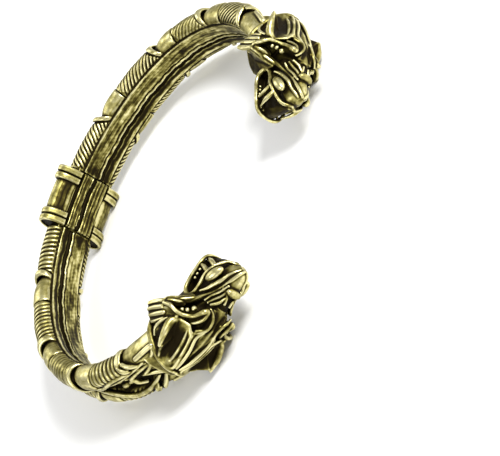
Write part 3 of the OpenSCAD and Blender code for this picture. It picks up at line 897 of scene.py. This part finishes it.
def carve_sleeve():
    """Half of the sleeve, then mirrored and grained."""
    field = Field([-5.7, 0.0, -0.96], [5.7, 7.1, 5.6], [0.11, 0.11, 0.11])
    where, (s, v, h) = field.everywhere()
    far = np.abs(s)
    middle = (SLEEVE_HEIGHT - SLEEVE_LOWERED - SLEEVE_DROP) / 2

    def shell(inset):
        """Distance to the sleeve's oval, drawn in by an inset."""
        tall = (SLEEVE_HEIGHT - SLEEVE_LOWERED + SLEEVE_DROP) / 2 - inset
        rho, growth = oval(h - middle, v, tall, REST_HALF_W - inset, SLEEVE_POWER)
        return (rho - 1) / growth

    # Two barrels, cleft at the outer middle
    barrel = shell(0.5 + 0.08 * (s / 2.8) ** 2)
    field.join(where, np.maximum(barrel, far - BARREL_HALF))
    cleft = np.sqrt((v / 0.5) ** 2 + ((h - 4.9) / 1.3) ** 2) - 1
    field.cut(where, np.maximum(cleft * 0.5, far - CLEFT_HALF), 0.1)
    field.join(where, np.maximum(shell(0.58), far - CORE_HALF))
    # Rings, two at each end
    for middle_at in SLEEVE_RINGS:
        off_ring = np.maximum(np.abs(far - middle_at) - RING_HALF_FLAT, 0)
        ring = np.sqrt(off_ring ** 2 + np.maximum(shell(RING_RADIUS), -0.5) ** 2) - RING_RADIUS
        field.join(where, ring, 0.03)
    # Inner plate with a trench on each side, lengthwise grain and a groove
    trench = np.maximum(np.abs(v - TRENCH_AT) - 0.16, h - 0.25)
    field.cut(where, np.maximum(trench, far - 5.4), 0.05)
    inner_plate = np.maximum(v - INNER_PLATE_HALF_W, far - CORE_HALF)
    inner_plate = np.maximum(inner_plate, np.maximum(-SLEEVE_DROP + 0.02 - h, h - 0.6))
    field.join(where, inner_plate, 0.05)
    field = field.mirrored(1)
    where, (s, v, h) = field.everywhere()
    grain = (np.sin(9.1 * v + 0.5 * np.sin(1.3 * s)) + np.sin(15.7 * v + 0.8 * np.sin(0.9 * s + 2))
             + np.sin(23 * v + 1.5 * s))
    face = smooth((0.1 - h) / 0.3) * smooth((2.6 - np.abs(v)) / 0.2)
    field.values += (GRAIN_DEPTH * face * grain).astype(np.float32)
    wander = 0.35 + 0.12 * np.sin(0.8 * s + 0.6)
    groove = np.sqrt(((v - wander) / 0.42) ** 2 + ((h + SLEEVE_DROP) / 0.7) ** 2) - 1
    field.cut(where, groove * 0.42, 0.05)
    field.cut(where, np.maximum(np.abs(v) - BORE_HALF_W, np.maximum(BORE_LOW - h, h - BORE_HIGH)))
    return field


def sleeve_patina_and_shade(q):
    """Stain, painted shade and streaks: painted shadow on the end faces under the rings, a darker inner
    face, and short nicks at the ends of the barrels and on their flanks, which are darker low down.
    """
    far, v, h = np.abs(q[:, 0]), q[:, 1], q[:, 2]
    outside = smooth((np.abs(v) - 3.0) / 0.15)
    inner = smooth((0.5 - h) / 0.4) * (1 - outside)
    flank = smooth((1.2 - h) / 0.6) * outside * (0.3 + 0.7 * smooth(v))
    round_way = np.arctan2(np.abs(v) / 2.3, h - 2.1)
    nicks = np.maximum(np.sin(38 * round_way + 0.4 * np.sin(2 * q[:, 0])), 0) ** 2
    length = smooth((far - 1.5 - 0.5 * np.sin(7 * round_way)) / 1.0)
    barrel = smooth((CLEFT_HALF - far) / 0.1) * (1 - inner)
    worn = 0.5 * nicks * np.maximum(length, flank) + 0.32 * flank
    rho, _ = oval(h - 2.08, v, 2.1, 6.02, SLEEVE_POWER)
    # Painted shadow on the end faces, under the rings
    end_shadow = smooth((far - 4.8) / 0.1) * smooth((1.05 - rho) / 0.06)
    stain_and_shade = 0.2 * inner - 0.08 * (1 - inner) + barrel * worn + 0.7 * end_shadow
    return stain_and_shade, 0.3 * inner


# The metal

# What makes the metal dark: a share everywhere, sunk places with their painted shade and patina, and less
# of it on exposed ones
DIRT_ALL_OVER = 0.42
DIRT_AND_SHADE_WHERE_SUNK = 1.3
RUBBED_WHERE_SHOWN = 0.13
# From clean to dirty and shaded: (place, colour)
DIRT_AND_SHADE_COLOURS = [
    (0.0, (0.74, 0.68, 0.35)), (0.2, (0.46, 0.41, 0.15)), (0.45, (0.19, 0.165, 0.042)),
    (0.68, (0.062, 0.049, 0.008)), (1.0, (0.014, 0.009, 0.0008)),
]


def finish_metal():
    """Antique bronze: polished where exposed, dark with painted shade and patina where sunk, mottled
    between.
    """
    metal = bpy.data.materials.new("antique_bronze")
    metal.use_nodes = True
    nodes, links = metal.node_tree.nodes, metal.node_tree.links
    shader = nodes["Principled BSDF"]

    def attribute(name):
        node = nodes.new("ShaderNodeAttribute")
        node.attribute_name = name
        return node.outputs["Fac"]

    def maths(kind, a, b, clamp=False):
        node = nodes.new("ShaderNodeMath")
        node.operation = kind
        node.use_clamp = clamp
        for socket, value in zip(node.inputs, (a, b)):
            if isinstance(value, (int, float)):
                socket.default_value = value
            else:
                links.new(value, socket)
        return node.outputs[0]

    def noise(scale, detail, rough, vector):
        node = nodes.new("ShaderNodeTexNoise")
        node.inputs["Scale"].default_value = scale
        node.inputs["Detail"].default_value = detail
        node.inputs["Roughness"].default_value = rough
        links.new(vector, node.inputs["Vector"])
        return node.outputs["Fac"]

    def swing(value, strength):
        """A noise about zero."""
        return maths("MULTIPLY", maths("SUBTRACT", value, 0.5), strength)

    place = nodes.new("ShaderNodeTexCoord").outputs["Object"]
    # Drawn out along the band, for streaks
    along = nodes.new("ShaderNodeVectorMath")
    along.operation = "MULTIPLY"
    along.inputs[1].default_value = (0.1, 0.1, 1)
    links.new(place, along.inputs[0])

    mottle = noise(900, 4, 0.6, place)
    patch = noise(260, 3, 0.6, place)
    fine = noise(3200, 3, 0.7, place)
    streaks = swing(noise(1900, 2, 0.6, along.outputs[0]), 2.2)
    # Sunk places and the pieces' marks bring painted shade and painted light into the colour along with the
    # dirt
    sunk = maths("MULTIPLY", attribute("deep"), DIRT_AND_SHADE_WHERE_SUNK)
    shown = maths("MULTIPLY", attribute("bend"), RUBBED_WHERE_SHOWN)
    dirt_and_shade = maths("ADD", maths("SUBTRACT", sunk, shown), DIRT_ALL_OVER)
    dirt_and_shade = maths("ADD", dirt_and_shade, swing(mottle, 1.0))
    dirt_and_shade = maths("ADD", dirt_and_shade, maths("MULTIPLY", streaks, attribute("streaked")))
    dirt_and_shade = maths("ADD", dirt_and_shade, swing(patch, 0.5), True)
    ramp = nodes.new("ShaderNodeValToRGB")
    while len(ramp.color_ramp.elements) < len(DIRT_AND_SHADE_COLOURS):
        ramp.color_ramp.elements.new(0.5)
    for element, (at, colour) in zip(ramp.color_ramp.elements, DIRT_AND_SHADE_COLOURS):
        element.position = at
        element.color = (*colour, 1)
    links.new(dirt_and_shade, ramp.inputs["Fac"])
    links.new(ramp.outputs["Color"], shader.inputs["Base Color"])
    metallic = maths("SUBTRACT", 1.0, maths("MULTIPLY", dirt_and_shade, 0.12))
    links.new(metallic, shader.inputs["Metallic"])
    rough = maths("ADD", 0.32, maths("MULTIPLY", dirt_and_shade, 0.3))
    rough = maths("ADD", rough, swing(fine, 0.25), True)
    links.new(rough, shader.inputs["Roughness"])
    bump = nodes.new("ShaderNodeBump")
    bump.inputs["Strength"].default_value = 0.35
    bump.inputs["Distance"].default_value = 0.00006
    links.new(maths("ADD", mottle, maths("MULTIPLY", fine, 0.5)), bump.inputs["Height"])
    links.new(bump.outputs["Normal"], shader.inputs["Normal"])
    return metal


bronze = finish_metal()


# Dressing the solids

# The right arm is the left one turned over
AS_CARVED = np.ones(3)
TURNED_OVER = np.array([1.0, -1.0, -1.0])


def place_piece(name, node, points, faces, shades_and_soils):
    """Puts a piece over its solid, inside the solid's box."""
    points = points + [CENTRE_SHIFT, 0, REST_HALF_W]
    low, high = (np.array(corner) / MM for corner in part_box(node))
    points = np.clip(points, low, high)
    piece = make_piece(name, points, faces, shades_and_soils)
    piece.data.materials.append(bronze)
    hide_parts(node)
    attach(piece, "root")


def mirrors(to_ring, point):
    """Whether the way to the ring swaps left and right."""
    start = to_ring(point)[0]
    x, y, z = (to_ring(point + 0.01 * axis)[0] - start for axis in np.eye(3))
    return np.cross(x, y) @ z < 0


def dress(field, to_ring, names, patina_and_shade):
    """Skins a field and places it under each name: (name, solid, turn)."""
    points, faces = skin(field)
    points = settle(field, points, faces)
    points, faces = thin_out(points, faces)
    shades_and_soils = shade_and_soil(field, points, patina_and_shade)
    placed = to_ring(points)
    if mirrors(to_ring, points[:1]):
        faces = faces[:, ::-1]
    for name, node, turn in names:
        place_piece(name, node, placed * turn, faces, shades_and_soils)


# Lean of the hatching and of the rings, for each arm
LEFT_LEANS = (0.7, 1.5)
RIGHT_LEANS = (0.12, 0.2)

dress(carve_band(*LEFT_LEANS), on_ring, [("band_left", "arm_left", AS_CARVED)], band_patina_and_shade)
dress(carve_band(*RIGHT_LEANS), on_ring, [("band_right", "arm_right", TURNED_OVER)], band_patina_and_shade)
dress(carve_head(), on_head, [("head_left", "arm_left", AS_CARVED),
                              ("head_right", "arm_right", TURNED_OVER)], head_patina_light_and_shade)
dress(carve_sleeve(), on_ring, [("ringed_sleeve", "sleeve", AS_CARVED)], sleeve_patina_and_shade)


# Studio

def flat_colour(name, colour, rough):
    """Material of one colour, without a pattern."""
    material = bpy.data.materials.new(name)
    material.use_nodes = True
    shader = material.node_tree.nodes["Principled BSDF"]
    shader.inputs["Base Color"].default_value = (*colour, 1)
    shader.inputs["Roughness"].default_value = rough
    return material


bpy.ops.mesh.primitive_plane_add(size=3, location=(0, 0, 0))
floor = bpy.context.object
floor.name = "studio_floor"
floor.data.materials.append(flat_colour("studio_white", (0.93, 0.93, 0.925), 0.9))

world = bpy.data.worlds.new("studio")
world.use_nodes = True
background = world.node_tree.nodes["Background"]
background.inputs["Color"].default_value = (1, 1, 1, 1)
background.inputs["Strength"].default_value = 0.52
bpy.context.scene.world = world


def soft_light(name, place, size, power):
    """Rectangular light aimed at the ring."""
    lamp = bpy.data.lights.new(name, "AREA")
    lamp.shape = "RECTANGLE"
    lamp.size, lamp.size_y = size
    lamp.energy = power
    lamp_object = bpy.data.objects.new(name, lamp)
    bpy.context.scene.collection.objects.link(lamp_object)
    aim = np.array([0, 0, REST_HALF_W * MM]) - np.array(place)
    lamp_object.location = place
    lamp_object.rotation_euler = Vector(aim).to_track_quat("-Z", "Y").to_euler()


# Lights: (name, place and size in metres, power)
LIGHTS = [
    ("key", (0.34, 0.22, 0.34), (0.16, 0.16), 3.4),
    ("side", (0.05, -0.36, 0.36), (0.26, 0.26), 0.8),
    ("rim", (-0.35, 0.05, 0.34), (0.26, 0.36), 0.6),
]
for light in LIGHTS:
    soft_light(*light)


# Camera, at the photograph's place about the ring

SENSOR_MM = 36
FOCAL_PX = 1500.0
FRAME_PX = 500
# From the part's frame to the camera's: axis times angle in radians, and shift
TURN_VECTOR = np.array([-0.4292, -0.8985, -0.1487])
SHIFT_MM = np.array([-14.02, 5.22, -248.68])


def turning(vector):
    """Rotation matrix of an axis times an angle."""
    size = np.linalg.norm(vector)
    x, y, z = vector / size
    k = np.array([[0, -z, y], [z, 0, -x], [-y, x, 0]])
    return np.eye(3) + math.sin(size) * k + (1 - math.cos(size)) * k @ k


rotation = turning(TURN_VECTOR)
spot = -rotation.T @ SHIFT_MM + [CENTRE_SHIFT, 0, REST_HALF_W]
camera = bpy.data.cameras.new("camera")
camera.sensor_width = SENSOR_MM
camera.lens = SENSOR_MM * FOCAL_PX / FRAME_PX
camera.clip_start = 0.01
camera_object = bpy.data.objects.new("camera", camera)
bpy.context.scene.collection.objects.link(camera_object)
pose = Matrix(rotation.T.tolist()).to_4x4()
pose.translation = (spot * MM).tolist()
camera_object.matrix_world = pose
bpy.context.scene.camera = camera_object
bpy.context.scene.view_settings.view_transform = "Standard"
